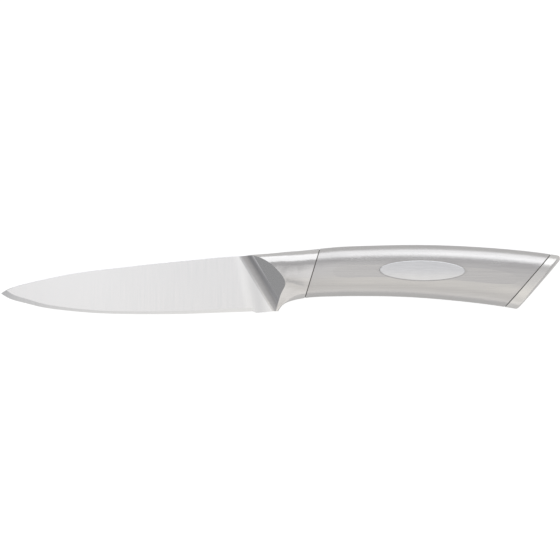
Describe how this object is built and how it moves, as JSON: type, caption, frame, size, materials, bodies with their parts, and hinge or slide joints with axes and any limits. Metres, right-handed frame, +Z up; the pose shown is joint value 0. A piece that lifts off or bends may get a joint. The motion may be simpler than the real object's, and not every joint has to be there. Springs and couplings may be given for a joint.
{
  "type": "paring knife",
  "caption": "Slim paring knife of stainless steel with a full bolster, a hollow oval handle, a slanted end cap and a plain oval badge.",
  "frame": {"origin": "centre of the knife's outline, on the surface that it lies on", "axes": "the knife lies on its far flank: +X from the tip to the butt, +Y from the cutting edge to the spine, +Z up out of the near flank, which carries the badge"},
  "size_m": [0.2264, 0.028, 0.0159],
  "materials": {
    "polished_steel": "polished",
    "satin_steel": "satin, brushed along the handle",
    "cap_steel": "fine satin",
    "badge_steel": "bright polished",
    "tang_steel": "mill finish",
    "adhesive": "matt",
    "resin": "cast",
    "plug_plastic": "moulded"
  },
  "bodies": {
    "root": {"blade": "polished_steel", "tang": "tang_steel", "handle_shell_near": "satin_steel", "handle_shell_far": "satin_steel", "spine_weld": "satin_steel", "belly_weld": "satin_steel", "tang_resin": "resin", "resin_plug": "plug_plastic", "end_cap": "cap_steel", "bolster_adhesive": "adhesive", "cap_adhesive": "adhesive", "badge": "badge_steel", "badge_adhesive": "adhesive"}
  },
  "joints": []
}
